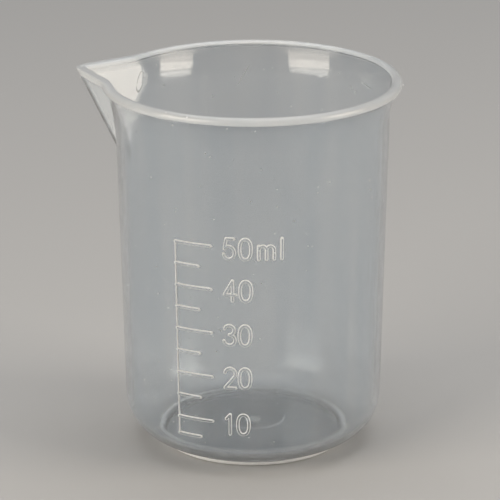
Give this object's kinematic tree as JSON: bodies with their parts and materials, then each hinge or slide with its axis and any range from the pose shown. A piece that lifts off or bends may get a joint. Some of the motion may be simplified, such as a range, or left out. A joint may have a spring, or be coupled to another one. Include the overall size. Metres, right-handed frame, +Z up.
{
  "type": "measuring beaker",
  "caption": "Small graduated pouring beaker moulded in one piece from translucent polypropylene, with a flared rim, a V-shaped spout, a raised scale and a standing ring.",
  "frame": {"origin": "on the cup's axis, at the height of the table it stands on", "axes": "+Z up along the cup's axis, -X towards the pouring spout's tip, -Y towards the scale at the front"},
  "size_m": [0.0542, 0.0488, 0.062],
  "materials": {
    "polypropylene": "translucent natural polypropylene, moulded smooth, slightly milky"
  },
  "bodies": {
    "root": {"beaker": "polypropylene"}
  },
  "joints": []
}
